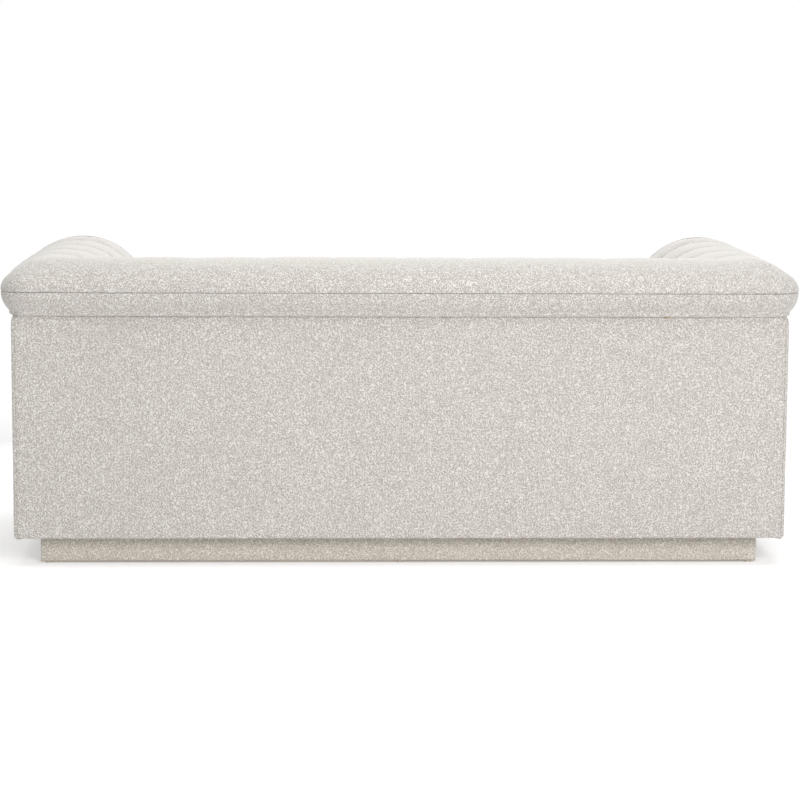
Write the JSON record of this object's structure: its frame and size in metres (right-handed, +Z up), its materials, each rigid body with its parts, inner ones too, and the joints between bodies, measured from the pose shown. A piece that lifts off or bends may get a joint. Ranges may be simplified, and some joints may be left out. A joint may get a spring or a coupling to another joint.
{
  "type": "tuxedo sofa",
  "caption": "Low sofa with arms and back of one height, rolled top edge, channelled inside, loose seat cushions and a recessed plinth",
  "frame": {"origin": "on the floor under the middle of the sofa's bounding box", "axes": "+Z up; the front faces -Y and the back +Y; X runs along the width, -X on the left as seen from the front"},
  "size_m": [2.06, 0.97, 0.795],
  "materials": {
    "upholstery": "matte",
    "frame_board": "matte",
    "bent_panel": "matte",
    "steel": "satin",
    "glide": "matte",
    "webbing": "matte",
    "dust_cloth": "matte",
    "deck_cloth": "matte",
    "foam": "matte"
  },
  "bodies": {
    "sofa": {"plinth_front_board": "frame_board", "plinth_back_board": "frame_board", "plinth_left_board": "frame_board", "plinth_right_board": "frame_board", "plinth_cross_boards": "frame_board", "corner_blocks": "frame_board", "seat_front_rail": "frame_board", "seat_back_rail": "frame_board", "seat_left_rail": "frame_board", "seat_right_rail": "frame_board", "seat_centre_rail": "frame_board", "back_ribs": "frame_board", "back_top_rail": "frame_board", "back_nose_rail": "frame_board", "back_bottom_rail": "frame_board", "back_tack_rail": "frame_board", "rear_corner_posts": "frame_board", "left_arm_front_board": "frame_board", "left_arm_middle_rib": "frame_board", "left_arm_rear_rib": "frame_board", "left_arm_top_rail": "frame_board", "left_arm_nose_rail": "frame_board", "left_arm_bottom_rail": "frame_board", "right_arm_front_board": "frame_board", "right_arm_middle_rib": "frame_board", "right_arm_rear_rib": "frame_board", "right_arm_top_rail": "frame_board", "right_arm_nose_rail": "frame_board", "right_arm_bottom_rail": "frame_board", "back_roll_skin": "bent_panel", "left_arm_skin": "bent_panel", "right_arm_skin": "bent_panel", "plinth_bolts": "steel", "seat_springs": "steel", "spring_clips": "steel", "spring_ties": "steel", "glides": "glide", "back_webbing": "webbing", "dust_cover": "dust_cloth", "deck_pad": "deck_cloth", "plinth_cover": "upholstery", "back_channel_pads": "upholstery", "rear_corner_pads": "upholstery", "back_roll_pad": "upholstery", "back_lower_band": "upholstery", "outside_back_cover": "upholstery", "outside_left_cover": "upholstery", "outside_right_cover": "upholstery", "front_border_cover": "upholstery", "left_arm_channel_pads": "upholstery", "left_lower_band": "upholstery", "left_arm_facing": "upholstery", "right_arm_channel_pads": "upholstery", "right_lower_band": "upholstery", "right_arm_facing": "upholstery"},
    "left_cushion": {"left_cushion_cover": "upholstery", "left_cushion_core": "foam"},
    "right_cushion": {"right_cushion_cover": "upholstery", "right_cushion_core": "foam"}
  },
  "joints": [
    {"name": "left_cushion_lift", "type": "slide", "parent": "sofa", "child": "left_cushion", "axis": [0, 0, 1], "range_m": [0, 0.3]},
    {"name": "right_cushion_lift", "type": "slide", "parent": "sofa", "child": "right_cushion", "axis": [0, 0, 1], "range_m": [0, 0.3]}
  ]
}
